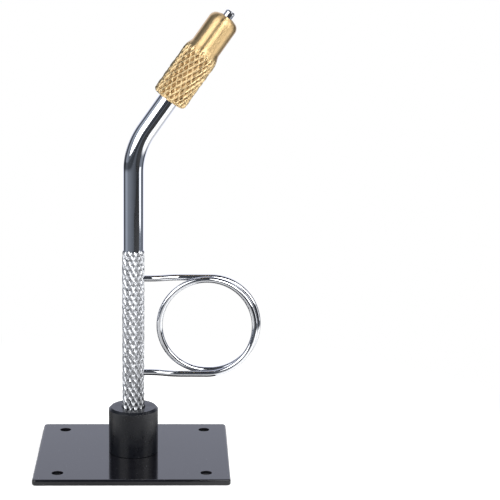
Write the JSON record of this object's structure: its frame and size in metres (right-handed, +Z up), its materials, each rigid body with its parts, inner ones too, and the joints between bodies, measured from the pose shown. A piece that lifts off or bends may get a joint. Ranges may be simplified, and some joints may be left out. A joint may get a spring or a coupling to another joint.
{
  "type": "fly tying vise",
  "caption": "Small bench vise for tying flies: a base plate and socket carry a bent steel stem with a knurled grip and finger ring; a brass sleeve closes a split collet.",
  "frame": {"origin": "middle of the base plate's underside, on the stem's axis", "axes": "+Z up along the stem's straight part; +X towards the side that the head leans to and the finger ring stands on; +Y towards the back"},
  "size_m": [0.0902, 0.07, 0.1823],
  "materials": {
    "plate_enamel": "glossy black enamel",
    "socket_black": "satin black",
    "screw_steel": "dark steel",
    "stem_chrome": "polished",
    "ring_chrome": "polished",
    "sleeve_brass": "turned, satin",
    "collet_steel": "turned"
  },
  "bodies": {
    "base": {"base_plate": "plate_enamel", "base_screw": "screw_steel"},
    "socket": {"post_socket": "socket_black"},
    "stem": {"stem": "stem_chrome", "finger_ring": "ring_chrome"},
    "collet": {"collet_root": "collet_steel"},
    "sleeve": {"clamp_sleeve": "sleeve_brass"},
    "front_jaw": {"jaw_front": "collet_steel"},
    "back_jaw": {"jaw_back": "collet_steel"}
  },
  "joints": [
    {"name": "stem_swivel", "type": "hinge", "parent": "base", "child": "socket", "pos_m": [0, 0, 0.0025], "axis": [0, 0, 1], "continuous": true},
    {"name": "stem_lift", "type": "slide", "parent": "socket", "child": "stem", "axis": [0, 0, 1], "range_m": [0, 0.014]},
    {"name": "collet_slide", "type": "slide", "parent": "stem", "child": "collet", "axis": [0.5736, 0, 0.8192], "range_m": [0, 0.00187]},
    {"name": "sleeve_turn", "type": "hinge", "parent": "collet", "child": "sleeve", "pos_m": [0.01387, 0, 0.14713], "axis": [0.5736, 0, 0.8192], "range_deg": [0, 540]},
    {"name": "front_jaw_open", "type": "hinge", "parent": "collet", "child": "front_jaw", "pos_m": [0.02372, -0.0012, 0.1612], "axis": [0.8192, 0, -0.5736], "range_deg": [0, 0.9]},
    {"name": "back_jaw_open", "type": "hinge", "parent": "collet", "child": "back_jaw", "pos_m": [0.02372, 0.0012, 0.1612], "axis": [-0.8192, 0, 0.5736], "range_deg": [0, 0.9]}
  ],
  "couplings": [
    {"joint": "sleeve_turn", "follows": "collet_slide", "rad_per_m": 5026.5},
    {"joint": "front_jaw_open", "follows": "collet_slide", "rad_per_m": 8.3775},
    {"joint": "back_jaw_open", "follows": "collet_slide", "rad_per_m": 8.3775}
  ]
}
